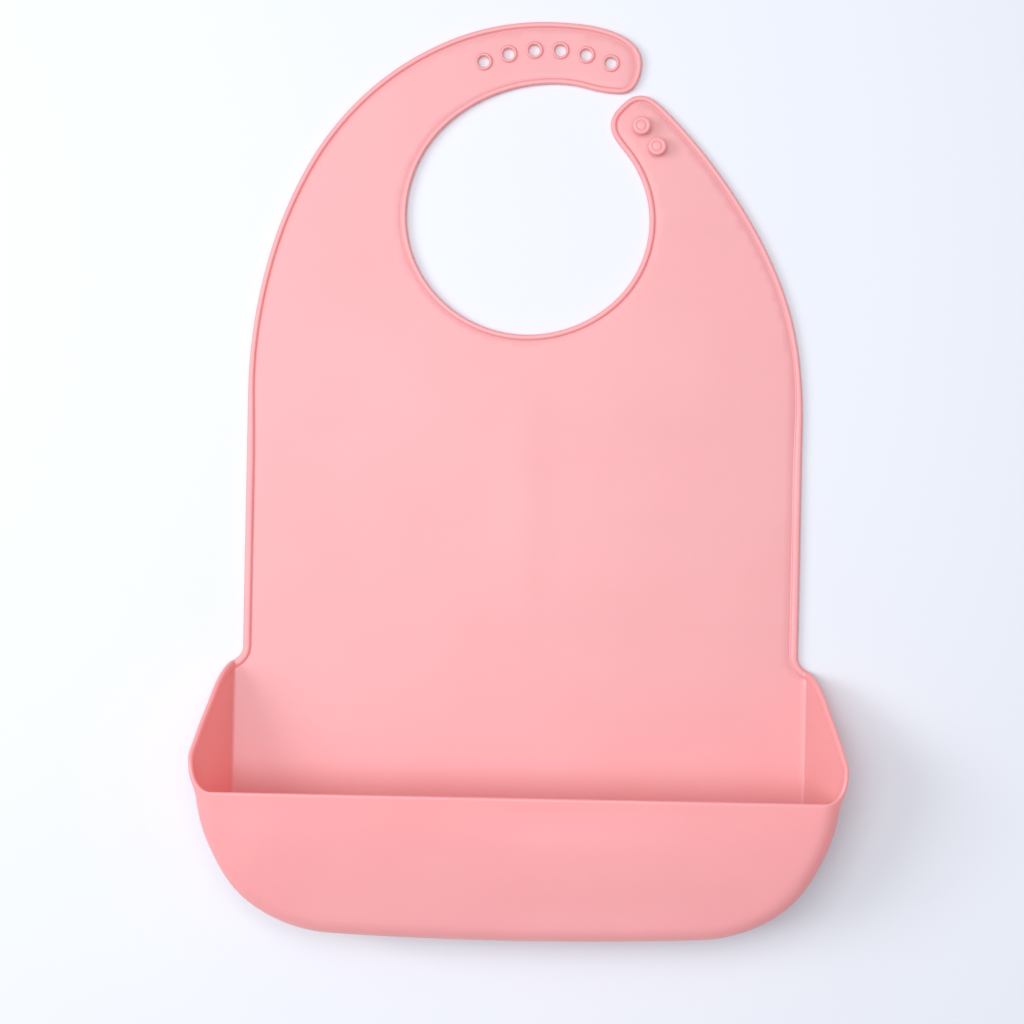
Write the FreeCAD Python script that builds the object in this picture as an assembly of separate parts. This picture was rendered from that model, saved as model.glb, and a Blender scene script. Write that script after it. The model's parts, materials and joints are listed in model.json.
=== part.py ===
"""A large silicone bib with a catch pocket, lying flat on its back.

The real bib is one moulding of soft silicone. It is drawn here as the zones that the moulding
bends into: the apron in four bands, the pocket with its swinging front wall, a long neck strap
with six button holes in five links, and a short neck strap with two snap studs in two links.
Every sheet is flat on z = 0, a raised rim runs round the free edges, and the links are parted
along the bend lines by a narrow gap.

Frame: millimetres, +Z out of the front of the bib, +Y towards the neck, +X to the stud side.
The origin is the middle of the bounding box, on the face that the bib rests on.
"""

import FreeCAD
import Part

import math
import os

# ---------------------------------------------------------------- driving dimensions

SHEET = 1.8  # thickness of the silicone sheet and of the pocket walls
RIM_WIDTH = 3.6  # raised bead along every free edge
RIM_TOP = 2.8  # height of the bead and of the eyelet rings above the resting face
BEND_GAP = 0.3  # parting between two links

SIDE_X = 134.0  # half width of the apron
TOP_Y = 219.0  # highest point of the long strap

# Outer edge, clockwise from the left shoulder: x, y and the heading in degrees from +X.
SHOULDER_LEFT = (-SIDE_X, -85.0, 90.0)
SHOULDER_RIGHT = (SIDE_X, -85.0, -90.0)
COLLAR_NODES = [
    SHOULDER_LEFT,
    (-SIDE_X, 37.0, 90.0),
    (-124.5, 105.5, 74.0),
    (-82.8, 180.2, 45.0),
    (7.5, TOP_Y, 0.0),
    (39.2, 214.8, -19.0),
    (53.0, 199.8, -90.0),
    (42.7, 185.1, -180.0),
    (12.0, 189.2, -180.0),
    (-59.3, 124.8, -90.0),
    (-1.0, 67.8, 0.0),
    (58.2, 123.1, 90.0),
    (44.9, 158.0, 131.0),
    (38.6, 170.3, 90.0),
    (41.5, 177.3, 50.0),
    (52.8, 184.4, 0.0),
    (63.8, 178.6, -43.5),
    (105.2, 127.4, -58.0),
    (122.8, 92.8, -68.5),
    (SIDE_X, 27.0, -90.0),
    SHOULDER_RIGHT,
]

# Pocket: the edge of its back wall, from the right shoulder round to the left one.
POCKET_X = 139.5
POCKET_TOP_Y = -97.0
CORNER_Y = -149.0
CORNER_END = (86.0, -206.2)
BOTTOM_Y = -208.4
BOTTOM_BOW = 3.0  # degrees that the bottom edge bows at its ends
FLARE = math.tan(math.radians(18.0))  # outward lean of the pocket walls
LIP_Y = -149.5  # where the front wall ends
LIP_Z = 50.0  # height of the front wall at its lip
FRONT_SLOPE = 0.145  # fall of the front wall towards the bottom
FRONT_FILLET = 9.0
PLATE_INSET = 3.0  # the swinging front wall starts this far inside the pocket's back edge
PLATE_GAP = 0.8
WALL_SPLIT_X = 86.0

# Edge of the pocket's mouth seen from the side: y, z and heading in degrees from +Y.
MOUTH_NODES = [
    (-85.0, SHEET, 160.0),
    (-97.0, 12.0, 126.0),
    (-115.5, 29.5, 138.0),
    (-132.0, 42.5, 143.0),
    (LIP_Y, LIP_Z + 1.0, 150.0),
]

# Bend lines: the centre that each line points away from, and its angle in degrees from +X.
FOLD_Y = [-60.0, -10.0, 40.0]
NECK_CENTRE = (0.0, 125.0)
STUD_CENTRE = (4.5, 123.0)
EYELET_CENTRE = (7.9, 125.3)
HOLE_STRAP_BENDS = [
    (NECK_CENTRE, 172.0),
    (NECK_CENTRE, 146.0),
    (NECK_CENTRE, 122.0),
    (EYELET_CENTRE, 99.5),
    (EYELET_CENTRE, 81.5),
]
STUD_STRAP_BENDS = [(STUD_CENTRE, 4.0), (STUD_CENTRE, 22.0)]
BEND_INNER_R = 40.0
BEND_OUTER_R = 135.0

# Button holes and their rings.
EYELET_ARC_R = 80.2
EYELET_ANGLES = [113.0, 104.0, 95.0, 86.0, 77.0, 68.0]
EYELET_R = 2.8
EYELET_RING_R = 4.4

# Snap studs.
STUD_PITCH = 12.5
STUD_ARC_R = 67.2
STUD_ANGLE = 43.5  # of the upper stud, seen from STUD_CENTRE
STEM_R = 2.5
HEAD_R = 4.4
HEAD_BOTTOM_Z = 5.0
HEAD_TOP_Z = 7.4
HEAD_EDGE = 0.7
STEM_FLARE = 0.8
GROOVE_R = 2.4  # ring groove in the head
GROOVE_WIDTH = 0.7
GROOVE_DEPTH = 0.3

BIG = 400.0  # longer than anything in the bib

OUT = "parts"


# ---------------------------------------------------------------- outlines of tangent arcs


def unit(heading):
    angle = math.radians(heading)
    return FreeCAD.Vector(math.cos(angle), math.sin(angle), 0)


def left_of(vector):
    return FreeCAD.Vector(-vector.y, vector.x, 0)


def arc_edge(start, heading, end):
    """The edge that leaves start along heading and ends at end: an arc, or a line if it is straight."""
    chord = end - start
    turn = math.radians(heading) - math.atan2(chord.y, chord.x)
    turn = (turn + math.pi) % (2 * math.pi) - math.pi
    if abs(turn) < 1e-6:
        return Part.LineSegment(start, end).toShape()
    middle = (start + end) * 0.5 + left_of(chord) * (math.tan(turn / 2) / 2)
    return Part.Arc(start, middle, end).toShape()


def biarc(first, last):
    """One line or two tangent arcs from one node to the next. A node is x, y and heading."""
    start = FreeCAD.Vector(first[0], first[1], 0)
    end = FreeCAD.Vector(last[0], last[1], 0)
    t0, t1 = unit(first[2]), unit(last[2])
    span = end - start
    if abs(span.dot(left_of(t0))) < 1e-6 and abs(span.dot(left_of(t1))) < 1e-6:
        return [Part.LineSegment(start, end).toShape()]
    across = 2 * (t0.dot(t1) - 1)
    along = -2 * span.dot(t0 + t1)
    if abs(across) < 1e-9:
        reach = -span.dot(span) / along
    else:
        root = math.sqrt(along * along - 4 * across * span.dot(span))
        reach = (-along - root) / (2 * across)
    joint = (start + t0 * reach + end - t1 * reach) * 0.5
    back = arc_edge(end, last[2] + 180.0, joint)
    return [arc_edge(start, first[2], joint), back]


def chain(nodes):
    edges = []
    for first, last in zip(nodes, nodes[1:]):
        edges += biarc(first, last)
    return edges


def closed_wire(nodes):
    edges = chain(nodes)
    end = FreeCAD.Vector(nodes[-1][0], nodes[-1][1], 0)
    start = FreeCAD.Vector(nodes[0][0], nodes[0][1], 0)
    if (end - start).Length > 1e-6:
        edges.append(Part.LineSegment(end, start).toShape())
    return Part.Wire(Part.__sortEdges__(edges))


def pocket_nodes(offset, top_y):
    """The pocket's U from the right side round to the left one, moved outwards by offset."""
    corner_x, corner_y = CORNER_END
    half = [
        (POCKET_X, top_y, -90.0),
        (POCKET_X, CORNER_Y, -90.0),
        (corner_x, corner_y, 180.0 + BOTTOM_BOW),
        (0.0, BOTTOM_Y, 180.0),
    ]
    mirrored = [(-x, y, -heading) for x, y, heading in reversed(half[:-1])]
    moved = []
    for x, y, heading in half + mirrored:
        out = left_of(unit(heading)) * offset
        moved.append((x + out.x, y + out.y, heading))
    return moved


# ---------------------------------------------------------------- tools for solids


def slab(x0, y0, z0, x1, y1, z1):
    return Part.makeBox(x1 - x0, y1 - y0, z1 - z0, FreeCAD.Vector(x0, y0, z0))


def solid_at(shape, x, y, z):
    """The solid of shape that holds this point."""
    for solid in shape.Solids:
        if solid.isInside(FreeCAD.Vector(x, y, z), 1e-6, True):
            return solid
    raise ValueError("no solid at %g, %g, %g" % (x, y, z))


def polar(centre, radius, angle):
    return (
        centre[0] + radius * math.cos(math.radians(angle)),
        centre[1] + radius * math.sin(math.radians(angle)),
    )


# ---------------------------------------------------------------- apron and straps


def bend_cutters():
    """Thin slabs along every bend line."""
    half = BEND_GAP / 2
    cutters = [slab(-BIG, y - half, -1, BIG, y + half, RIM_TOP + 1) for y in FOLD_Y]
    for centre, angle in HOLE_STRAP_BENDS + STUD_STRAP_BENDS:
        cutter = slab(BEND_INNER_R, -half, -1, BEND_OUTER_R, half, RIM_TOP + 1)
        cutter.rotate(FreeCAD.Vector(0, 0, 0), FreeCAD.Vector(0, 0, 1), angle)
        cutter.translate(FreeCAD.Vector(centre[0], centre[1], 0))
        cutters.append(cutter)
    return cutters


def eyelet_places():
    return [polar(EYELET_CENTRE, EYELET_ARC_R, angle) for angle in EYELET_ANGLES]


def eyelet_cylinders(radius, z0, z1):
    return [
        Part.makeCylinder(radius, z1 - z0, FreeCAD.Vector(x, y, z0))
        for x, y in eyelet_places()
    ]


def sheet_outline():
    nodes = COLLAR_NODES + pocket_nodes(0.0, POCKET_TOP_Y) + [SHOULDER_LEFT]
    return closed_wire(nodes)


def sheet_links(outline):
    plate = Part.Face(outline).extrude(FreeCAD.Vector(0, 0, SHEET))
    plate = plate.cut(eyelet_cylinders(EYELET_R, -1, SHEET + 1))
    return plate.cut(bend_cutters())


def rim_links(outline):
    inner = outline.makeOffset2D(-RIM_WIDTH)
    band = Part.Face(outline).cut(Part.Face(inner))
    bead = band.extrude(FreeCAD.Vector(0, 0, RIM_TOP - SHEET))
    bead.translate(FreeCAD.Vector(0, 0, SHEET))
    below_shoulder = slab(-BIG, -BIG, 0, BIG, SHOULDER_LEFT[1], RIM_TOP + 1)
    return bead.cut([below_shoulder] + bend_cutters())


def touching(solids, sheet):
    """The solids that stand on this sheet."""
    return Part.makeCompound([s for s in solids if s.distToShape(sheet)[0] < 1e-4])


# ---------------------------------------------------------------- eyelet rings and studs


def eyelet_rings():
    outer = eyelet_cylinders(EYELET_RING_R, SHEET, RIM_TOP)
    inner = eyelet_cylinders(EYELET_R, SHEET, RIM_TOP)
    return [ring.cut(bore) for ring, bore in zip(outer, inner)]


def stud_places():
    upper = polar(STUD_CENTRE, STUD_ARC_R, STUD_ANGLE)
    step = math.degrees(2 * math.asin(STUD_PITCH / 2 / STUD_ARC_R))
    lower = polar(STUD_CENTRE, STUD_ARC_R, STUD_ANGLE - step)
    return [upper, lower]


def stud(x, y):
    """A mushroom stud: stem with a flared root, and a flat head with a ring groove."""
    root_z = SHEET + STEM_FLARE
    neck_z = HEAD_BOTTOM_Z - STEM_FLARE / 2
    groove_z = HEAD_TOP_Z - GROOVE_DEPTH
    outline = [
        (0, SHEET),
        (STEM_R + STEM_FLARE, SHEET),
        (STEM_R, root_z),
        (STEM_R, neck_z),
        (HEAD_R - HEAD_EDGE / 2, HEAD_BOTTOM_Z),
        (HEAD_R, HEAD_BOTTOM_Z + HEAD_EDGE),
        (HEAD_R, HEAD_TOP_Z - HEAD_EDGE),
        (HEAD_R - HEAD_EDGE, HEAD_TOP_Z),
        (GROOVE_R + GROOVE_WIDTH / 2, HEAD_TOP_Z),
        (GROOVE_R, groove_z),
        (GROOVE_R - GROOVE_WIDTH / 2, HEAD_TOP_Z),
        (0, HEAD_TOP_Z),
        (0, SHEET),
    ]
    wire = Part.makePolygon([FreeCAD.Vector(r, 0, z) for r, z in outline])
    axis = FreeCAD.Vector(0, 0, 1)
    body = Part.Face(wire).revolve(FreeCAD.Vector(0, 0, 0), axis, 360)
    body.translate(FreeCAD.Vector(x, y, 0))
    return body


# ---------------------------------------------------------------- pocket


def front_height(y):
    """Height of the front wall's outer face over y."""
    return LIP_Z + FRONT_SLOPE * (y - LIP_Y)


def pocket_core(inset, base_z):
    """The pocket filled solid, with every face moved inwards by inset."""
    top_z = LIP_Z + 20.0
    side_inset = inset * math.sqrt(1 + FLARE * FLARE)
    wires = []
    for z in (base_z, top_z):
        wire = closed_wire(pocket_nodes(z * FLARE - side_inset, SHOULDER_LEFT[1]))
        wire.translate(FreeCAD.Vector(0, 0, z))
        wires.append(wire)
    core = Part.makeLoft(wires, True, True)
    drop = inset * math.sqrt(1 + FRONT_SLOPE * FRONT_SLOPE)
    lid_profile = [
        (-BIG, front_height(-BIG) - drop),
        (BIG, front_height(BIG) - drop),
        (BIG, BIG),
        (-BIG, BIG),
    ]
    lid = Part.Face(Part.makePolygon(
        [FreeCAD.Vector(-BIG, y, z) for y, z in lid_profile + lid_profile[:1]]
    )).extrude(FreeCAD.Vector(2 * BIG, 0, 0))
    core = core.cut(lid)
    edges = [e for e in core.Edges if on_front(e, drop)]
    return core.makeFillet(FRONT_FILLET - inset, edges)


def on_front(edge, drop):
    """Whether an edge lies round the front face, its top side left out."""
    middle = edge.valueAt((edge.FirstParameter + edge.LastParameter) / 2)
    on_plane = abs(middle.z - (front_height(middle.y) - drop)) < 1e-3
    return on_plane and middle.y < SHOULDER_LEFT[1] - 1e-3


def mouth():
    """What is taken away in front of the edge of the pocket's mouth."""
    edges = chain(MOUTH_NODES)
    first, last = MOUTH_NODES[0], MOUTH_NODES[-1]
    corners = [(last[0], last[1]), (last[0], BIG), (BIG, BIG), (BIG, first[1]), (first[0], first[1])]
    points = [FreeCAD.Vector(y, z, 0) for y, z in corners]
    edges += [Part.LineSegment(a, b).toShape() for a, b in zip(points, points[1:])]
    face = Part.Face(Part.Wire(Part.__sortEdges__(edges)))
    block = face.extrude(FreeCAD.Vector(0, 0, 2 * BIG))
    # Drawn with y along X and z along Y: turned so that they lie along Y and Z.
    turn = FreeCAD.Matrix(0, 0, 1, -BIG, 1, 0, 0, 0, 0, 1, 0, 0, 0, 0, 0, 1)
    return block.transformGeometry(turn)


def pocket_walls():
    shell = pocket_core(0.0, 0.0).cut(pocket_core(SHEET, -5.0))
    above_sheet = slab(-BIG, -BIG, SHEET, BIG, BIG, BIG)
    return shell.common(above_sheet).cut(mouth())


def plate_prism(offset):
    wire = closed_wire(pocket_nodes(offset, SHOULDER_LEFT[1]))
    return Part.Face(wire).extrude(FreeCAD.Vector(0, 0, BIG))


# ---------------------------------------------------------------- the whole bib

LINK_POINTS = {
    "lap_panel": (0.0, -120.0),
    "waist_panel": (0.0, -35.0),
    "belly_panel": (0.0, 15.0),
    "chest_panel": (0.0, 55.0),
    "hole_strap_root": polar(NECK_CENTRE, 75.0, 160.0),
    "hole_strap_shoulder": polar(NECK_CENTRE, 75.0, 134.0),
    "hole_strap_inner": polar(EYELET_CENTRE, 74.0, 108.5),
    "hole_strap_middle": polar(EYELET_CENTRE, 74.0, 90.5),
    "hole_strap_tip": polar(EYELET_CENTRE, 74.0, 72.5),
    "stud_strap_root": polar(STUD_CENTRE, 70.0, 13.0),
    "stud_strap_tip": polar(STUD_CENTRE, 60.0, 38.0),
}
RING_LINKS = ["hole_strap_inner", "hole_strap_middle", "hole_strap_tip"]


def build():
    """Every node's name and shape."""
    nodes = {}
    outline = sheet_outline()
    sheets = sheet_links(outline)
    rims = rim_links(outline).Solids
    for link, (x, y) in LINK_POINTS.items():
        sheet = solid_at(sheets, x, y, SHEET / 2)
        nodes[link + "_sheet"] = sheet
        nodes[link + "_rim"] = touching(rims, sheet)
    rings = eyelet_rings()
    for index, link in enumerate(RING_LINKS):
        nodes[link + "_eyelets"] = Part.makeCompound(rings[2 * index:2 * index + 2])
    for name, (x, y) in zip(("snap_stud_upper", "snap_stud_lower"), stud_places()):
        nodes[name] = stud(x, y)
    walls = pocket_walls()
    fixed = walls.cut(plate_prism(-PLATE_INSET))
    nodes["pocket_front_wall"] = walls.common(plate_prism(-PLATE_INSET - PLATE_GAP))
    nodes["pocket_side_left"] = fixed.common(slab(-BIG, -BIG, 0, -WALL_SPLIT_X, BIG, BIG))
    nodes["pocket_side_right"] = fixed.common(slab(WALL_SPLIT_X, -BIG, 0, BIG, BIG, BIG))
    nodes["pocket_bottom_wall"] = fixed.common(
        slab(-WALL_SPLIT_X, -BIG, 0, WALL_SPLIT_X, BIG, BIG)
    )
    return nodes


def main():
    os.makedirs(OUT, exist_ok=True)
    for name, shape in build().items():
        if not shape.isValid() or not shape.Solids:
            raise ValueError(name + " is not a valid solid")
        shape.exportStep(os.path.join(OUT, name + ".step"))
        print("%-28s %d solids %9.1f mm3" % (name, len(shape.Solids), shape.Volume))


main()
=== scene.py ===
"""Looks of the silicone bib.

The bib is one soft moulding, so it is built here as one skin: a middle surface with a thickness on
each side of it. The skin is then cut across its bend lines into pieces, and most pieces are paired
with one joint of the CAD model, though nothing here bends them. Neighbouring pieces share their cut's
points exactly.

The middle surface is drawn flat and laid in place. There are two drawings. The back one is the panel
and straps in plan, with the pocket's walls unrolled outwards from the crease. The front one is the
pocket's front wall in plan, with the same walls unrolled outwards from it. They meet along a line
part of the way up the walls. A drawing's points are filled in by a Delaunay triangulation, inside
rows that follow the free edge and carry its raised bead.

Shapes are worked out in millimetres, as in the CAD source, and become metres when a mesh is made.
"""

import json
import math

import bmesh
import bpy
import numpy as np
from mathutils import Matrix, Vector
from mathutils.geometry import delaunay_2d_cdt
from mathutils.kdtree import KDTree


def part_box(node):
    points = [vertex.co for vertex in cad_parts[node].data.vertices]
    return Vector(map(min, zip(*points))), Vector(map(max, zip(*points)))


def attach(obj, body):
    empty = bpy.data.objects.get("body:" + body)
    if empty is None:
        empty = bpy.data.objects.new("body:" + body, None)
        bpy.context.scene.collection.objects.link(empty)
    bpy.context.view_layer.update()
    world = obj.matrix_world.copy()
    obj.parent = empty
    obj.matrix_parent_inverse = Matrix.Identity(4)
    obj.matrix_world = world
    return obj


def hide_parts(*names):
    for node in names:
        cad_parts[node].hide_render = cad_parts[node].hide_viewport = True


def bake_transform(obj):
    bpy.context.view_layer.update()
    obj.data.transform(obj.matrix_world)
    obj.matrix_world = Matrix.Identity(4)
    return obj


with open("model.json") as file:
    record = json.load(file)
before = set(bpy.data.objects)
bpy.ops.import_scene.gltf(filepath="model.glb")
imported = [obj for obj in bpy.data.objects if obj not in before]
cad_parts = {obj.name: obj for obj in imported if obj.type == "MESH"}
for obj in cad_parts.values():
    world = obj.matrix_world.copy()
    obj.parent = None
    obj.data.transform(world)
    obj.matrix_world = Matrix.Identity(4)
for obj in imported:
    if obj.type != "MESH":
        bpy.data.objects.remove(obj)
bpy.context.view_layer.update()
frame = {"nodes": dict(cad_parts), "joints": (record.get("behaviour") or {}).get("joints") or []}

MM = 0.001

# ---------------------------------------------------------------- sizes, in millimetres

SHEET = 1.8
MID = SHEET / 2
RIM_TOP = 2.8
SIDE_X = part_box("waist_panel_sheet")[1].x / MM
TOP_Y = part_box("hole_strap_tip_sheet")[1].y / MM

SHOULDER_Y = -85.0
COLLAR_NODES = [
    (-SIDE_X, SHOULDER_Y, 90.0),
    (-SIDE_X, 37.0, 90.0),
    (-124.5, 105.5, 74.0),
    (-82.8, 180.2, 45.0),
    (7.5, 219.0, 0.0),
    (39.2, 214.8, -19.0),
    (53.0, 199.8, -90.0),
    (42.7, 185.1, -180.0),
    (12.0, 189.2, -180.0),
    (-59.3, 124.8, -90.0),
    (-1.0, 67.8, 0.0),
    (58.2, 123.1, 90.0),
    (44.9, 158.0, 131.0),
    (38.6, 170.3, 90.0),
    (41.5, 177.3, 50.0),
    (52.8, 184.4, 0.0),
    (63.8, 178.6, -43.5),
    (105.2, 127.4, -58.0),
    (122.8, 92.8, -68.5),
    (SIDE_X, 27.0, -90.0),
    (SIDE_X, SHOULDER_Y, -90.0),
]

# Pocket, as in the CAD source.
POCKET_X = 139.5
CORNER_Y = -149.0
CORNER_END = (86.0, -206.2)
BOTTOM_Y = -208.4
BOTTOM_BOW = 3.0
FLARE_ANGLE = math.radians(18.0)
FLARE = math.tan(FLARE_ANGLE)
LIP_Y = -149.5
LIP_Z = 50.0
FRONT_SLOPE = 0.145
FRONT_FILLET_R = 9.0 - MID
CREASE_R = 2.4
MOUTH_NODES = [(-97.0, 12.0, 126.0), (-115.5, 29.5, 138.0), (-132.0, 42.5, 143.0)]
SEAM_Z = 18.0  # where the free edge passes from the back drawing to the front one

# Bead along the free edge: distances in from the edge at which the skin has a row of points.
BEAD_CREST = 2.3  # where the bead's flat top ends and rounds off
CREST_FALL = 0.3
BEAD_FLAT = 3.3  # where the rounding ends and the step down starts
BEAD_WIDTH = 3.9
GROOVE_FLAT = 4.2  # a shallow groove runs along the foot of the step
GROOVE_WIDTH = 5.1
GROOVE_Z = 1.6
END_DEPTH = 0.4  # how far the hidden ends between two pieces are dished
STRAP_BEAD = 0.72  # the straps' bead against the apron's
GUSSET_BEAD = [1.0, 0.75, 0.6, 0.3]  # share of the bead at the shoulder, up the gusset and on the lip
EDGE_Z = 1.3  # height of the outermost line of the bead
EDGE_ROUND = 1.1
ROWS = [0, 0.06, 0.24, 0.52, 0.88, 1.25, 1.8, 2.3, 2.65, 3.0, 3.3, 3.5, 3.7, 3.9, 4.2, 4.65, 5.1]
EDGE_SPACING = 1.8
EDGE_TURN = math.radians(6.0)
GRID = 3.0
CLEAR = 1.6  # nearest that a filling point comes to a row
WALL_SPACING = 2.5
WALL_STEP_TURN = math.radians(5.0)
CREASE_STEPS = 4
FILLET_STEPS = 10

# Eyelets.
EYELET_CENTRE = (7.9, 125.3)
EYELET_ARC_R = 80.2
EYELET_ANGLES = [113.0, 104.0, 95.0, 86.0, 77.0, 68.0]
EYELET_R = 2.8
RING_FLAT = 1.0
RING_WIDTH = 1.6
RING_ROWS = [0, 0.03, 0.12, 0.25, 0.4, 0.7, 1.0, 1.15, 1.3, 1.45, 1.6, 1.8, 2.05, 2.3]
RING_ROUND = 0.4
RING_POINTS = 36

# Studs: radius and height of the outline, from the root to the middle of the head.
STUD_CENTRE = (4.5, 123.0)
STUD_OUTLINE = [
    (3.8, 1.75), (3.3, 1.85), (2.85, 2.15), (2.6, 2.6), (2.5, 3.2), (2.5, 4.0), (2.65, 4.45),
    (3.1, 4.75), (3.8, 4.85), (4.2, 5.0), (4.4, 5.35), (4.4, 6.5), (4.32, 6.9), (4.1, 7.18),
    (3.7, 7.34), (3.2, 7.38), (2.8, 7.36), (2.6, 7.28), (2.48, 7.16), (2.3, 7.12), (2.12, 7.16),
    (2.0, 7.28), (1.8, 7.36), (1.2, 7.39), (0.6, 7.4),
]
STUD_POINTS = 64

# Cuts between the pieces. A cut across the apron is a y, and one across a strap is the centre that
# it points away from and its angle.
NECK_CENTRE = (0.0, 125.0)
APRON_CUTS = [-70.0, -24.0, 26.0]
HOLE_STRAP_CUTS = [
    (NECK_CENTRE, 177.0), (NECK_CENTRE, 158.0), (NECK_CENTRE, 132.5),
    (EYELET_CENTRE, 108.5), (EYELET_CENTRE, 90.5),
]
STUD_STRAP_CUTS = [(STUD_CENTRE, -1.0), (STUD_CENTRE, 15.0)]
STRAP_MIDDLE_R = 75.0

# Pieces over one joint: the joint, the length of the bend, a point of the piece, and what it replaces.
BENDING_PIECES = [
    ("waist_skin", "waist_fold", 24.0, (0.0, -40.0), ["waist_panel"]),
    ("belly_skin", "belly_fold", 24.0, (0.0, 5.0), ["belly_panel"]),
    ("chest_skin", "chest_fold", 24.0, (0.0, 50.0), ["chest_panel"]),
    ("hole_strap_skin_1", "hole_strap_curl_1", 13.0, (-72.0, 142.0), ["hole_strap_root"]),
    ("hole_strap_skin_2", "hole_strap_curl_2", 13.0, (-61.0, 170.0), ["hole_strap_shoulder"]),
    ("hole_strap_skin_3", "hole_strap_curl_3", 13.0, (-32.0, 197.0), ["hole_strap_inner"]),
    ("hole_strap_skin_4", "hole_strap_curl_4", 10.0, (-5.0, 196.0), ["hole_strap_middle"]),
    ("hole_strap_skin_5", "hole_strap_curl_5", 10.0, (30.0, 199.0), ["hole_strap_tip"]),
    ("stud_strap_skin_1", "stud_strap_curl_1", 9.0, (75.0, 131.0), ["stud_strap_root"]),
    ("stud_strap_skin_2", "stud_strap_curl_2", 9.0, (62.0, 160.0), ["stud_strap_tip"]),
]
DRAWN_IN = 2.8  # at the pocket's corners
WAVE = 0.35
RIDGE = 0.5


# ---------------------------------------------------------------- paths of tangent arcs


def wrap(angle):
    return (angle + np.pi) % (2 * np.pi) - np.pi


def unit(heading):
    return np.stack([np.cos(heading), np.sin(heading)], -1)


def left_of(vector):
    return np.stack([-vector[..., 1], vector[..., 0]], -1)


def arc_to(start, heading, end):
    """The arc that leaves start along heading for end: start, heading, curvature and length."""
    chord = end - start
    reach = np.hypot(*chord)
    bend = wrap(math.atan2(chord[1], chord[0]) - heading)
    if abs(bend) < 1e-9:
        return (start, heading, 0.0, reach)
    return (start, heading, 2 * math.sin(bend) / reach, reach * bend / math.sin(bend))


def biarc(first, last):
    """One line or two tangent arcs from one node to the next. A node is x, y and heading."""
    start, end = np.array(first[:2], float), np.array(last[:2], float)
    h0, h1 = math.radians(first[2]), math.radians(last[2])
    t0, t1 = unit(h0), unit(h1)
    span = end - start
    if abs(span @ left_of(t0)) < 1e-6 and abs(span @ left_of(t1)) < 1e-6:
        return [arc_to(start, h0, end)]
    across = 2 * (t0 @ t1 - 1)
    along = -2 * span @ (t0 + t1)
    if abs(across) < 1e-9:
        reach = -span @ span / along
    else:
        reach = (-along - math.sqrt(along * along - 4 * across * (span @ span))) / (2 * across)
    joint = (start + t0 * reach + end - t1 * reach) / 2
    one = arc_to(start, h0, joint)
    return [one, arc_to(joint, h0 + one[2] * one[3], end)]


def along_arc(arc, s):
    """Points and headings at the distances s along an arc."""
    start, heading, curvature, _ = arc
    h = heading + curvature * s
    if abs(curvature) < 1e-9:
        return start + s[:, None] * unit(heading), h
    turn = np.stack([np.sin(h) - math.sin(heading), math.cos(heading) - np.cos(h)], -1)
    return start + turn / curvature, h


class Path:
    def __init__(self, nodes):
        self.arcs = [arc for pair in zip(nodes, nodes[1:]) for arc in biarc(*pair)]

    def stations(self, spacing, turn):
        """Points and headings along the path, its end left out."""
        points, headings = [], []
        for arc in self.arcs:
            count = math.ceil(max(arc[3] / spacing, abs(arc[2]) * arc[3] / turn))
            p, h = along_arc(arc, np.arange(count) * arc[3] / count)
            points.append(p)
            headings.append(h)
        return np.concatenate(points), np.concatenate(headings)

    def nearest(self, q):
        """The nearest points of the path, its left normals there, and the offsets to the left."""
        best = np.full(len(q), np.inf)
        foot, normal = np.zeros_like(q), np.zeros_like(q)
        for arc in self.arcs:
            start, heading, curvature, length = arc
            if abs(curvature) < 1e-9:
                s = (q - start) @ unit(heading)
            else:
                v = (q - start - left_of(unit(heading)) / curvature) * curvature
                s = wrap(np.arctan2(v[:, 0], -v[:, 1]) - heading) / curvature
            p, h = along_arc(arc, np.clip(s, 0, length))
            gap = np.hypot(*(q - p).T)
            closer = gap < best
            best[closer], foot[closer] = gap[closer], p[closer]
            normal[closer] = left_of(unit(h))[closer]
        return foot, normal, ((q - foot) * normal).sum(1)


# ---------------------------------------------------------------- the pocket's cross-section


def pocket_nodes(top_y):
    """The crease round the pocket's back, from the right side to the left one."""
    corner_x, corner_y = CORNER_END
    half = [
        (POCKET_X, top_y, -90.0),
        (POCKET_X, CORNER_Y, -90.0),
        (corner_x, corner_y, 180.0 + BOTTOM_BOW),
        (0.0, BOTTOM_Y, 180.0),
    ]
    return half + [(-x, y, -heading) for x, y, heading in reversed(half[:-1])]


CREASE = Path(pocket_nodes(0.0))
WALL_UP = np.array([math.sin(FLARE_ANGLE), math.cos(FLARE_ANGLE)])  # outwards and up
WALL_TURN = math.pi / 2 - FLARE_ANGLE  # from the panel up to the wall
WALL_INSET = MID * math.hypot(1, FLARE)  # middle surface inside the outer face, measured level
CREASE_CORNER = FLARE * MID - WALL_INSET
CREASE_START = CREASE_CORNER - CREASE_R * math.tan(WALL_TURN / 2)
CREASE_ARC = CREASE_R * WALL_TURN
WALL_FOOT = np.array([CREASE_START, MID]) + CREASE_R * np.array(
    [math.sin(WALL_TURN), 1 - math.cos(WALL_TURN)]
)


def wall_reach(z):
    """How far past the crease's start the wall's height z is, measured on the surface."""
    return CREASE_ARC + (z - WALL_FOOT[1]) / WALL_UP[1]


def back_section(reach):
    """Level and height of the crease and wall, and the normal, at a distance past its start."""
    angle = np.clip(reach / CREASE_R, 0, WALL_TURN)
    beyond = np.maximum(reach - CREASE_ARC, 0)
    level = CREASE_START + CREASE_R * np.sin(angle) + beyond * WALL_UP[0]
    height = MID + CREASE_R * (1 - np.cos(angle)) + beyond * WALL_UP[1]
    return level, height, -np.sin(angle), np.cos(angle)


def front_mid_z(y):
    return LIP_Z + FRONT_SLOPE * (y - LIP_Y) - MID * math.hypot(1, FRONT_SLOPE)


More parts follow.
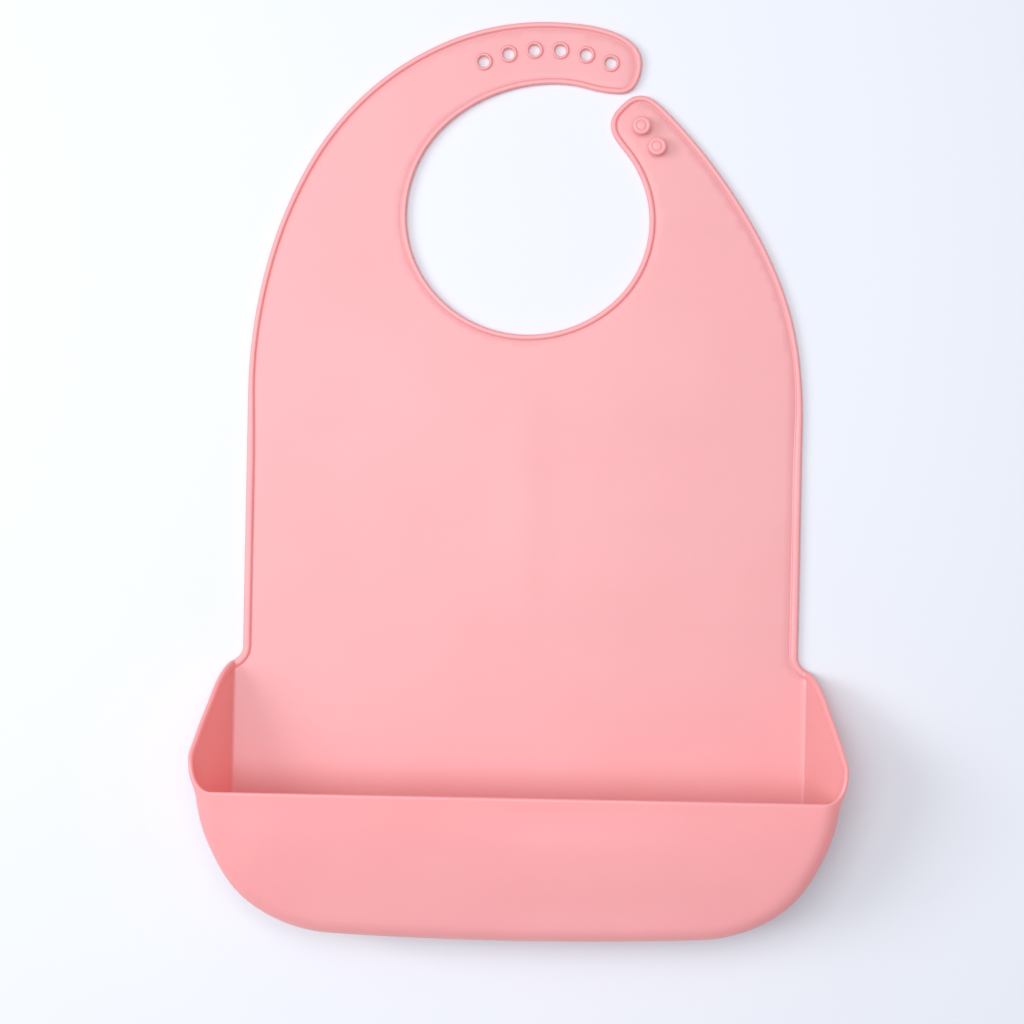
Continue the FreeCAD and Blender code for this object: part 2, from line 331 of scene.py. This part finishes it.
class FrontSection:
    """The section of the pocket's front and wall over crease points with outward normals."""

    def __init__(self, foot_y, normal_y):
        slope = FRONT_SLOPE * normal_y
        self.lean = np.arctan(slope)
        corner_z0 = front_mid_z(foot_y)
        level = (FLARE * corner_z0 - WALL_INSET) / (1 - FLARE * slope)
        self.turn = math.pi + self.lean - WALL_TURN
        tangent = FRONT_FILLET_R * np.tan(self.turn / 2)
        self.start = level - tangent * np.cos(self.lean)
        self.start_z = corner_z0 + slope * self.start
        self.arc = FRONT_FILLET_R * self.turn
        self.wall_level = level - tangent * WALL_UP[0]
        self.wall_z = corner_z0 + slope * level - tangent * WALL_UP[1]

    def at(self, reach):
        """Level, height and normal at a distance past the front wall's edge, down over the wall."""
        angle = self.lean - np.clip(reach / FRONT_FILLET_R, 0, self.turn)
        beyond = np.maximum(reach - self.arc, 0)
        rise = np.cos(angle) - np.cos(self.lean)
        run = np.sin(self.lean) - np.sin(angle)
        level = self.start + FRONT_FILLET_R * run - beyond * WALL_UP[0]
        height = self.start_z + FRONT_FILLET_R * rise - beyond * WALL_UP[1]
        return level, height, np.sin(angle), -np.cos(angle)

    def reach_of(self, z):
        """How far past the front wall's edge the wall's height z is."""
        return self.arc + (self.wall_z - z) / WALL_UP[1]

    def unrolled(self):
        """The crease's start to the front wall's edge, measured on the surface."""
        return wall_reach(self.wall_z) + self.arc


def assemble(foot, normal, section):
    level, height, out, up = section
    place = np.column_stack([foot + normal * level[:, None], height])
    return place, np.column_stack([normal * out[:, None], up])


def lay_back(q):
    """Places and normals of points of the back drawing."""
    foot, normal, offset = CREASE.nearest(q)
    place, facing = assemble(foot, normal, back_section(offset - CREASE_START))
    flat = offset <= CREASE_START
    place[flat] = np.column_stack([q[flat], np.full(flat.sum(), MID)])
    facing[flat] = (0, 0, 1)
    return place, facing


def lay_front(q):
    """Places and normals of points of the front drawing."""
    foot, normal, offset = CREASE.nearest(q)
    section = FrontSection(foot[:, 1], normal[:, 1])
    place, facing = assemble(foot, normal, section.at(offset - section.start))
    flat = offset <= section.start
    place[flat] = np.column_stack([q[flat], front_mid_z(q[flat][:, 1])])
    facing[flat] = Vector((0, FRONT_SLOPE, -1)).normalized()
    return place, facing


# ---------------------------------------------------------------- profiles of beads and rings


def smooth(x, low, high):
    t = np.clip((x - low) / (high - low), 0, 1)
    return t * t * (3 - 2 * t)


def quarter(d, radius):
    """0 at the edge, rising on a quarter circle to 1 at radius."""
    return np.sqrt(1 - (1 - np.clip(d / radius, 0, 1)) ** 2)


def bead_profile(d, share):
    """Thickness above and below the middle surface at distance d from the edge.
    share is 1 for the full bead and 0 for a plain rounded edge."""
    crest = CREST_FALL * np.clip((d - BEAD_CREST) / (BEAD_FLAT - BEAD_CREST), 0, 1) ** 2
    outer = EDGE_Z + (RIM_TOP - EDGE_Z) * quarter(d, EDGE_ROUND) - crest
    step_z = RIM_TOP - CREST_FALL
    step = step_z - (step_z - GROOVE_Z) * smooth(d, BEAD_FLAT, BEAD_WIDTH)
    foot = GROOVE_Z + (SHEET - GROOVE_Z) * smooth(d, GROOVE_FLAT, GROOVE_WIDTH)
    top = np.where(d < BEAD_FLAT, outer, np.where(d < GROOVE_FLAT, step, foot))
    bottom = EDGE_Z * (1 - quarter(d, EDGE_ROUND))
    plain = MID * quarter(d, MID)
    above = share * (top - MID) + (1 - share) * plain
    below = share * (MID - bottom) + (1 - share) * plain
    return above, below


def ring_profile(d):
    """Thickness above and below the middle surface at distance d from a button hole's edge."""
    half = RIM_TOP / 2
    outer = half + half * quarter(d, RING_ROUND)
    step = RIM_TOP - (RIM_TOP - SHEET) * smooth(d, RING_FLAT, RING_WIDTH)
    top = np.where(d < RING_ROUND, outer, step)
    return top - MID, MID - half * (1 - quarter(d, RING_ROUND))


# ---------------------------------------------------------------- the skin


class Skin:
    """The whole middle surface: places, normals, thickness on both sides, and faces."""

    def __init__(self):
        self.place, self.facing, self.above, self.below = [], [], [], []
        self.faces, self.cuts = [], set()

    def add(self, place, facing, above=MID, below=MID):
        first = len(self.place)
        self.place += list(place)
        self.facing += list(facing)
        self.above += list(np.broadcast_to(above, len(place)))
        self.below += list(np.broadcast_to(below, len(place)))
        return np.arange(first, len(self.place))

    def band(self, rings, closed=True):
        """Quads between rows of points. rings has one row of vertices for each station."""
        count = len(rings)
        for i in range(count if closed else count - 1):
            here, after = rings[i], rings[(i + 1) % count]
            for k in range(len(here) - 1):
                self.faces.append((here[k], here[k + 1], after[k + 1], after[k]))


def inside(q, loops):
    """Whether points are inside closed loops, by counting crossings."""
    crossings = np.zeros(len(q), int)
    for loop in loops:
        for a, b in zip(loop, np.roll(loop, -1, 0)):
            if a[1] == b[1]:
                continue
            spans = (a[1] > q[:, 1]) != (b[1] > q[:, 1])
            x = a[0] + (q[:, 1] - a[1]) * (b[0] - a[0]) / (b[1] - a[1])
            crossings += spans & (q[:, 0] < x)
    return crossings % 2 == 1


def grid_points(low, high):
    """Points of a square grid."""
    xs = np.arange(math.ceil(low[0] / GRID), high[0] / GRID) * GRID
    ys = np.arange(math.ceil(low[1] / GRID), high[1] / GRID) * GRID
    x, y = np.meshgrid(xs, ys)
    return np.column_stack([x.ravel(), y.ravel()])


def clear_of(q, others, gap):
    tree = KDTree(len(others))
    for i, p in enumerate(others):
        tree.insert((p[0], p[1], 0), i)
    tree.balance()
    return np.array([tree.find((p[0], p[1], 0))[2] >= gap for p in q], bool)


def fill(skin, loops, lines, inner, lay, flip):
    """Triangulates a drawing. loops and lines are lists of (vertices of the skin, points);
    lines are open and are kept as edges. inner are more points of the drawing."""
    ids = np.concatenate([v for v, _ in loops + lines])
    drawn = np.concatenate([p for _, p in loops + lines])
    outlines = [p for _, p in loops]
    inner = inner[inside(inner, outlines)]
    inner = inner[clear_of(inner, drawn, CLEAR)]
    ids = np.concatenate([ids, skin.add(*lay(inner))])
    drawn = np.concatenate([drawn, inner])
    edges, first = [], 0
    for closed, group in ((True, loops), (False, lines)):
        for v, _ in group:
            last = first + len(v)
            edges += [(i, i + 1) for i in range(first, last - 1)]
            if closed:
                edges.append((last - 1, first))
            first = last
    points = [Vector((p[0], p[1])) for p in drawn]
    found = delaunay_2d_cdt(points, edges, [], 0, 1e-5)
    source = [ids[o[0]] for o in found[3]]
    corners = np.array([[found[0][i][:] for i in face] for face in found[2]])
    keep = inside(corners.mean(1), outlines)
    for face, kept in zip(found[2], keep):
        if kept:
            face = [source[i] for i in face]
            if len(set(face)) == 3:
                skin.faces.append(tuple(face[::-1] if flip else face))


# ---------------------------------------------------------------- the free edge


def side_x(z):
    """The back drawing's x for the height z on the right side wall."""
    return POCKET_X + CREASE_START + wall_reach(z)


def side_sum(y):
    """The back drawing's x plus the front drawing's x of any point of the right side at y."""
    section = FrontSection(y, 0.0)
    return 2 * POCKET_X + section.start + CREASE_START + section.unrolled()


def mouth_path():
    """The right half of the mouth's edge, on the back drawing carried on over the front wall."""
    nodes = [(SIDE_X, SHOULDER_Y, -90.0)]
    for y, z, heading in MOUTH_NODES:
        h = math.radians(heading)
        nodes.append((side_x(z), y, math.degrees(math.atan2(math.cos(h), math.sin(h) / WALL_UP[1]))))
    section = FrontSection(LIP_Y, 0.0)
    edge_x = POCKET_X + CREASE_START + section.unrolled()
    nodes += [(edge_x, LIP_Y, 0.0), (side_sum(LIP_Y), LIP_Y, 0.0)]
    return Path(nodes), edge_x


def edge_rows(path):
    """Points of a drawing: a row of them in from every station, with the path on their left."""
    points, headings = path.stations(EDGE_SPACING, EDGE_TURN)
    inward = -left_of(unit(headings))
    wide = 1 - (1 - STRAP_BEAD) * smooth(points[:, 1], 0.0, 60.0)
    return points[:, None] + (inward * wide[:, None])[:, None] * np.array(ROWS)[None, :, None]


def add_rows(skin, rows, lay, share):
    """Adds rows of a drawing to the skin and gives their vertices, one row for each station."""
    above, below = bead_profile(np.array(ROWS)[None], share[:, None])
    ids = skin.add(*lay(rows.reshape(-1, 2)), above.ravel(), below.ravel())
    return ids.reshape(rows.shape[:2])


def mirrored(rows):
    return rows * (-1, 1)


def meeting_line(skin, meet_x, meet_y):
    """The line along which the two drawings meet, at one height all round the walls. Gives its
    vertices, its points on both drawings, its reach past the crease's start and its height."""
    reach = meet_x - POCKET_X - CREASE_START
    z = back_section(reach)[1]
    foot, heading = Path(pocket_nodes(meet_y)).stations(WALL_SPACING, WALL_STEP_TURN)
    foot, out = foot[1:], left_of(unit(heading[1:]))
    section = FrontSection(foot[:, 1], out[:, 1])
    on_back = foot + out * (CREASE_START + reach)
    on_front = foot + out * (section.start + section.reach_of(z))[:, None]
    return skin.add(*lay_back(on_back)), on_back, on_front, reach, z


def free_edge(skin):
    """The rows along the whole free edge. Gives the loops of their inner ends on both drawings,
    the stations of the collar, and the reach and height of the line where the drawings meet."""
    collar = edge_rows(Path(COLLAR_NODES))
    collar_ids = add_rows(skin, collar, lay_back, np.ones(len(collar)))

    path, edge_x = mouth_path()
    mouth = edge_rows(path)
    share = np.interp(mouth[:, 0, 0], [SIDE_X, side_x(14.0), side_x(40.0), edge_x], GUSSET_BEAD)
    switch = int(np.argmax(mouth[:, 0, 0] > side_x(SEAM_Z)))
    wall = np.clip((edge_x - mouth[:, :1, 0]) / FrontSection(LIP_Y, 0.0).arc, 0, 1)
    station_sum, point_sum = side_sum(mouth[:, :1, 1]), side_sum(mouth[:, :, 1])
    front = mouth.copy()
    front[:, :, 0] = station_sum + wall * (point_sum - station_sum) - mouth[:, :, 0]

    low, high = mouth[:switch], front[switch:]
    right_low = add_rows(skin, low, lay_back, share[:switch])
    right_high = add_rows(skin, high, lay_front, share[switch:])
    middle = np.column_stack([np.zeros(len(ROWS)), LIP_Y - np.array(ROWS)])[None]
    middle_ids = add_rows(skin, middle, lay_front, share[-1:])
    left_high = add_rows(skin, mirrored(high[::-1]), lay_front, share[switch:][::-1])
    left_low = add_rows(skin, mirrored(low[:0:-1]), lay_back, share[1:switch][::-1])
    skin.band(np.concatenate([collar_ids, right_low, right_high, middle_ids, left_high, left_low]))

    meet_ids, meet_back, meet_front, meet_reach, meet_z = meeting_line(skin, *mouth[switch, -1])
    back_ids = [collar_ids[:, -1], right_low[:, -1], right_high[:1, -1], meet_ids,
                left_high[-1:, -1], left_low[:, -1]]
    back = [collar[:, -1], low[:, -1], mouth[switch:switch + 1, -1], meet_back,
            mirrored(mouth[switch:switch + 1, -1]), mirrored(low[:0:-1, -1])]
    front_ids = [right_high[:, -1], middle_ids[:, -1], left_high[:, -1], meet_ids[::-1]]
    fronts = [high[:, -1], middle[:, -1], mirrored(high[::-1, -1]), meet_front[::-1]]
    back_loop = (np.concatenate(back_ids), np.concatenate(back))
    front_loop = (np.concatenate(front_ids), np.concatenate(fronts))
    return back_loop, front_loop, (collar_ids, collar), meet_reach, meet_z


def eyelets(skin):
    """The rings round the button holes, and the loops of their outer ends."""
    loops = []
    rows = np.array(RING_ROWS)
    turns = np.arange(RING_POINTS) * 2 * math.pi / RING_POINTS
    above, below = ring_profile(rows)
    for angle in np.radians(EYELET_ANGLES):
        centre = np.array(EYELET_CENTRE) + EYELET_ARC_R * unit(angle)
        points = centre + unit(turns)[:, None] * (EYELET_R + rows)[None, :, None]
        ids = skin.add(*lay_back(points.reshape(-1, 2)), np.tile(above, RING_POINTS),
                       np.tile(below, RING_POINTS)).reshape(RING_POINTS, -1)
        skin.band(ids)
        loops.append((ids[:, -1], points[:, -1]))
    return loops


# ---------------------------------------------------------------- cuts between the pieces


def cut(skin, collar, first, last):
    """Cuts the skin from one station of the collar straight to another. Gives the line's points."""
    ids, rows = collar
    for station in (first, last):
        skin.cuts |= {frozenset(pair) for pair in zip(ids[station], ids[station][1:])}
    start, end = rows[first, -1], rows[last, -1]
    count = max(2, round(np.hypot(*(end - start)) / GRID))
    points = start + (end - start) * (np.arange(1, count) / count)[:, None]
    new = skin.add(*lay_back(points))
    line = np.concatenate([[ids[first, -1]], new, [ids[last, -1]]])
    skin.cuts |= {frozenset(pair) for pair in zip(line, line[1:])}
    return line, np.concatenate([[start], points, [end]])


def nearest_station(rows, target, allowed):
    gap = np.hypot(*(rows[:, 0] - target).T)
    return int(np.argmin(np.where(allowed, gap, np.inf)))


def apron_cut(skin, collar, y):
    rows = collar[1]
    edge_x = rows[:, 0, 0]
    left = nearest_station(rows, (-SIDE_X, y), edge_x < 0)
    right = nearest_station(rows, (SIDE_X, y), edge_x > 0)
    return cut(skin, collar, left, right)


def strap_cut(skin, collar, centre, angle):
    """A cut from the outer edge to the inner one, along a ray from centre."""
    rows = collar[1]
    spoke = rows[:, 0] - centre
    radius = np.hypot(*spoke.T)
    off_ray = np.abs(wrap(np.arctan2(spoke[:, 1], spoke[:, 0]) - math.radians(angle)))
    outer = int(np.argmin(np.where(radius > STRAP_MIDDLE_R, off_ray, np.inf)))
    inner = int(np.argmin(np.where(radius < STRAP_MIDDLE_R, off_ray, np.inf)))
    return cut(skin, collar, outer, inner)


def crease_rows(top_y, reaches_of):
    """Points on rows that run round the pocket. reaches_of gives their offsets at every station."""
    foot, heading = Path(pocket_nodes(top_y)).stations(WALL_SPACING, WALL_STEP_TURN)
    out = left_of(unit(heading))
    offsets = reaches_of(foot, out)
    return (foot[None] + out[None] * offsets[:, :, None]).reshape(-1, 2)


def back_filling(meet_reach):
    steps = np.concatenate([np.arange(CREASE_STEPS + 1) / CREASE_STEPS * CREASE_ARC,
                            np.arange(CREASE_ARC + GRID, meet_reach - CLEAR, GRID)])
    rings = crease_rows(SHOULDER_Y, lambda foot, out: np.repeat(
        (CREASE_START + steps)[:, None], len(foot), 1))
    grid = grid_points((-POCKET_X, BOTTOM_Y), (POCKET_X, TOP_Y))
    offset = CREASE.nearest(grid)[2]
    return np.concatenate([grid[offset < CREASE_START - GRID / 2], rings])


def front_filling(meet_z):
    def offsets(foot, out):
        section = FrontSection(foot[:, 1], out[:, 1])
        wall = section.reach_of(meet_z) - section.arc
        count = math.ceil(wall.max() / GRID)
        over_fillet = np.arange(FILLET_STEPS + 1)[:, None] / FILLET_STEPS * section.arc
        down_wall = section.arc + np.arange(1, count)[:, None] / count * wall
        return section.start + np.concatenate([over_fillet, down_wall])

    rings = crease_rows(SHOULDER_Y, offsets)
    grid = grid_points((-POCKET_X, BOTTOM_Y), (POCKET_X, LIP_Y))
    foot, normal, offset = CREASE.nearest(grid)
    start = FrontSection(foot[:, 1], normal[:, 1]).start
    return np.concatenate([grid[offset < start - GRID / 2], rings])


def build_skin():
    skin = Skin()
    back_loop, front_loop, collar, meet_reach, meet_z = free_edge(skin)
    holes = eyelets(skin)
    lines = [apron_cut(skin, collar, y) for y in APRON_CUTS]
    lines += [strap_cut(skin, collar, c, a) for c, a in HOLE_STRAP_CUTS + STUD_STRAP_CUTS]
    fill(skin, [back_loop] + holes, lines, back_filling(meet_reach), lay_back, False)
    fill(skin, [front_loop], [], front_filling(meet_z), lay_front, True)
    return skin


# ---------------------------------------------------------------- the lie of the soft sheet


def settle(skin):
    """A soft sheet isn't quite flat: low waves in the apron, and a slight pillow in the pocket's front."""
    place, facing = np.array(skin.place), np.array(skin.facing)
    x, y, z = place.T
    apron = (z < RIM_TOP) * smooth(y, -95.0, -30.0)
    wave = WAVE * (1 + np.sin(x / 41 + 0.7) * np.sin(y / 47 + 1.3))
    ridge = RIDGE * np.exp(-((x / 11) ** 2)) * smooth(-y, -66.0, -20.0)
    place[:, 2] += apron * (wave + ridge)
    # The walls and the front are drawn in beside the lip's ends and below them.
    drawn = smooth(-y, 140.0, 154.0) * smooth(y, -204.0, -176.0)
    drawn *= smooth(z, 6.0, 44.0) * smooth(abs(x), 70.0, 130.0)
    place[:, 0] -= np.sign(x) * DRAWN_IN * drawn
    front = (facing[:, 2] < -0.9) * smooth(-y, -LIP_Y + 4.0, -LIP_Y + 25.0)
    front *= smooth(y, BOTTOM_Y + 2.0, BOTTOM_Y + 25.0) * smooth(-abs(x), -POCKET_X, 20.0 - POCKET_X)
    pillow = 0.5 + 0.5 * np.sin(x / 33 + 0.4) * np.cos(y / 29)
    place -= facing * (front * pillow)[:, None]
    return place, facing


# ---------------------------------------------------------------- meshes


def components(skin):
    """The faces between the cuts, as lists of face numbers."""
    by_edge = {}
    for f, face in enumerate(skin.faces):
        for pair in zip(face, face[1:] + face[:1]):
            by_edge.setdefault(frozenset(pair), []).append(f)
    near = [[] for _ in skin.faces]
    for edge, pair in by_edge.items():
        if len(pair) == 2 and edge not in skin.cuts:
            near[pair[0]].append(pair[1])
            near[pair[1]].append(pair[0])
    group = [-1] * len(skin.faces)
    found = []
    for seed in range(len(skin.faces)):
        if group[seed] >= 0:
            continue
        group[seed] = len(found)
        members = [seed]
        for f in members:
            for other in near[f]:
                if group[other] < 0:
                    group[other] = len(found)
                    members.append(other)
        found.append(members)
    return found


def skin_piece(name, skin, surface, members):
    """A closed mesh of part of the skin: both faces, and dished ends where it is cut."""
    place, facing = surface
    above, below = np.array(skin.above), np.array(skin.below)
    bm = bmesh.new()
    sides, inward, middle = ({}, {}), {}, {}

    def corner(v, side):
        if side and above[v] + below[v] < 1e-6:
            return corner(v, 0)
        if v not in sides[side]:
            thickness = -below[v] if side else above[v]
            sides[side][v] = bm.verts.new(Vector((place[v] + facing[v] * thickness) * MM))
        return sides[side][v]

    def dished(v):
        """The end's middle point, a little way into the piece."""
        if above[v] + below[v] < 1e-6:
            return corner(v, 0)
        if v not in middle:
            depth = END_DEPTH / np.linalg.norm(inward[v])
            middle[v] = bm.verts.new(Vector((place[v] + inward[v] * depth) * MM))
        return middle[v]

    ends = []
    for f in members:
        face = skin.faces[f]
        for side, order in ((0, face), (1, face[::-1])):
            bm.faces.new([corner(v, side) for v in order]).smooth = True
        for p in zip(face, face[1:] + face[:1]):
            if frozenset(p) in skin.cuts:
                ends.append(p)
                towards = place[list(face)].mean(0) - place[list(p)].mean(0)
                for v in p:
                    inward[v] = inward.get(v, 0) + towards / np.linalg.norm(towards)
    triangles = [f for f in bm.faces if len(f.verts) == 3]
    bmesh.ops.join_triangles(bm, faces=triangles, angle_face_threshold=0.2,
                             angle_shape_threshold=0.8)
    for a, b in ends:
        for ring in ([corner(b, 0), corner(a, 0), dished(a), dished(b)],
                     [dished(b), dished(a), corner(a, 1), corner(b, 1)]):
            ring = [v for i, v in enumerate(ring) if v is not ring[i - 1]]
            for edge in bm.faces.new(ring).edges:
                edge.smooth = False
    return to_object(name, bm)


def to_object(name, bm):
    mesh = bpy.data.meshes.new(name)
    bm.to_mesh(mesh)
    bm.free()
    obj = bpy.data.objects.new(name, mesh)
    bpy.context.scene.collection.objects.link(obj)
    return obj


def stud(name, node):
    """A turned mushroom stud on its CAD stud's axis."""
    low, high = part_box(node)
    centre = (low + high) / 2
    bm = bmesh.new()
    rings = []
    for r, z in STUD_OUTLINE:
        rings.append([
            bm.verts.new((centre.x + r * MM * math.cos(t), centre.y + r * MM * math.sin(t), z * MM))
            for t in (i * 2 * math.pi / STUD_POINTS for i in range(STUD_POINTS))
        ])
    for lower, upper in zip(rings, rings[1:]):
        for i in range(STUD_POINTS):
            j = (i + 1) % STUD_POINTS
            bm.faces.new((lower[i], lower[j], upper[j], upper[i])).smooth = True
    bm.faces.new(rings[0][::-1])
    bm.faces.new(rings[-1]).smooth = True
    return to_object(name, bm)


# ---------------------------------------------------------------- silicone


def silicone():
    """Satin moulded silicone. Light passes through a wall of it and comes out deeper and redder."""
    material = bpy.data.materials.new("silicone")
    material.use_nodes = True
    nodes, links = material.node_tree.nodes, material.node_tree.links
    nodes.clear()
    output = nodes.new("ShaderNodeOutputMaterial")
    mix = nodes.new("ShaderNodeMixShader")
    mix.inputs["Fac"].default_value = 0.5
    body = nodes.new("ShaderNodeBsdfPrincipled")
    body.inputs["Specular IOR Level"].default_value = 1.0
    body.inputs["Sheen Weight"].default_value = 0.5
    through = nodes.new("ShaderNodeBsdfTranslucent")
    through.inputs["Color"].default_value = (0.98, 0.32, 0.25, 1)

    place = nodes.new("ShaderNodeTexCoord")
    cloud = nodes.new("ShaderNodeTexNoise")
    cloud.inputs["Scale"].default_value = 14.0
    cloud.inputs["Detail"].default_value = 3.0
    tint = nodes.new("ShaderNodeValToRGB")
    tint.color_ramp.elements[0].position = 0.3
    tint.color_ramp.elements[0].color = (0.955, 0.575, 0.62, 1)
    tint.color_ramp.elements[1].position = 0.7
    tint.color_ramp.elements[1].color = (0.975, 0.615, 0.66, 1)
    grain = nodes.new("ShaderNodeTexNoise")
    grain.inputs["Scale"].default_value = 900.0
    grain.inputs["Detail"].default_value = 4.0
    gloss = nodes.new("ShaderNodeMapRange")
    gloss.inputs["To Min"].default_value = 0.32
    gloss.inputs["To Max"].default_value = 0.44
    bump = nodes.new("ShaderNodeBump")
    bump.inputs["Strength"].default_value = 0.06
    bump.inputs["Distance"].default_value = 0.0002

    for noise in (cloud, grain):
        links.new(place.outputs["Object"], noise.inputs["Vector"])
    links.new(cloud.outputs["Fac"], tint.inputs["Fac"])
    links.new(tint.outputs["Color"], body.inputs["Base Color"])
    links.new(grain.outputs["Fac"], gloss.inputs["Value"])
    links.new(gloss.outputs["Result"], body.inputs["Roughness"])
    links.new(grain.outputs["Fac"], bump.inputs["Height"])
    links.new(bump.outputs["Normal"], body.inputs["Normal"])
    links.new(bump.outputs["Normal"], through.inputs["Normal"])
    links.new(body.outputs["BSDF"], mix.inputs[1])
    links.new(through.outputs["BSDF"], mix.inputs[2])
    links.new(mix.outputs["Shader"], output.inputs["Surface"])
    return material


# ---------------------------------------------------------------- the pieces of the bib


def link_nodes(link):
    """The CAD nodes of a link: its sheet, its rim and its eyelet rings."""
    return [n for n in frame["nodes"] if n.startswith(link + "_")]


def joint_named(name):
    return next(j for j in frame["joints"] if j["name"] == name)


def bend_over(obj, joint_name):
    """Looks up a piece's joint and bakes the piece's place into its mesh; nothing is bent here."""
    joint = joint_named(joint_name)
    start = Vector(joint["pos_m"])
    towards_child = Vector((0, 0, 1)).cross(Vector(joint["axis"]))
    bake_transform(obj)


def build_bib(material):
    skin = build_skin()
    surface = settle(skin)
    groups = components(skin)
    middles = [np.array([surface[0][list(skin.faces[f])].mean(0) for f in g]) for g in groups]

    def group_at(x, y):
        """The group with the apron face nearest to a point."""
        gaps = [np.hypot(m[:, 0] - x, m[:, 1] - y)[m[:, 2] < 2 * RIM_TOP].min() for m in middles]
        return groups[int(np.argmin(gaps))]

    for name, joint, length, point, links in BENDING_PIECES:
        piece = skin_piece(name, skin, surface, group_at(*point))
        bend_over(piece, joint)
        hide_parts(*[n for link in links for n in link_nodes(link)])
        finish_piece(piece, material)

    pocket = skin_piece("lap_and_pocket_skin", skin, surface, group_at(0.0, -120.0))
    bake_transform(pocket)
    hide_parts(*link_nodes("lap_panel"), *link_nodes("pocket"))
    finish_piece(pocket, material)

    for name in ("snap_stud_upper", "snap_stud_lower"):
        piece = stud(name + "_skin", name)
        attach(piece, "stud_strap_tip")
        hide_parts(name)
        finish_piece(piece, material)


def finish_piece(piece, material):
    piece.data.materials.append(material)


# ---------------------------------------------------------------- stage, light and camera

CAMERA_HEIGHT = 1.0
CAMERA_X, CAMERA_Y = -0.0054, -0.0179
CAMERA_ROLL = math.radians(1.15)
VIEW_WIDTH = 0.4954  # of the floor in view
FLOOR_Z = -0.0002


def build_floor():
    material = bpy.data.materials.new("floor")
    material.use_nodes = True
    body = material.node_tree.nodes["Principled BSDF"]
    body.inputs["Base Color"].default_value = (0.665, 0.69, 0.755, 1)
    body.inputs["Roughness"].default_value = 0.6
    bm = bmesh.new()
    bmesh.ops.create_grid(bm, x_segments=1, y_segments=1, size=6.0)
    bmesh.ops.translate(bm, verts=bm.verts, vec=(0, 0, FLOOR_Z))
    floor = to_object("floor", bm)
    floor.data.materials.append(material)


def area_light(name, place, aim, size, power, colour):
    light = bpy.data.lights.new(name, "AREA")
    light.shape = "SQUARE"
    light.size = size
    light.energy = power
    light.color = colour
    obj = bpy.data.objects.new(name, light)
    obj.location = place
    obj.rotation_euler = (Vector(aim) - Vector(place)).to_track_quat("-Z", "Y").to_euler()
    bpy.context.scene.collection.objects.link(obj)


def build_light():
    world = bpy.data.worlds.new("studio")
    world.use_nodes = True
    sky = world.node_tree.nodes["Background"]
    sky.inputs["Color"].default_value = (0.93, 0.96, 1.0, 1)
    sky.inputs["Strength"].default_value = 0.36
    bpy.context.scene.world = world
    area_light("window", (-2.2, 0.2, 1.7), (0, 0, 0), 1.3, 44.0, (1.0, 0.985, 0.97))
    area_light("overhead", (-0.25, 0.15, 1.8), (0, 0, 0), 1.3, 26.0, (1.0, 1.0, 1.0))


def build_camera():
    camera = bpy.data.cameras.new("camera")
    camera.sensor_width = 36.0
    camera.lens = camera.sensor_width * CAMERA_HEIGHT / VIEW_WIDTH
    obj = bpy.data.objects.new("camera", camera)
    obj.location = (CAMERA_X, CAMERA_Y, CAMERA_HEIGHT)
    obj.rotation_euler = (0, 0, CAMERA_ROLL)
    bpy.context.scene.collection.objects.link(obj)
    bpy.context.scene.camera = obj


bpy.context.scene.view_settings.view_transform = "Standard"
build_camera()
build_floor()
build_light()
build_bib(silicone())
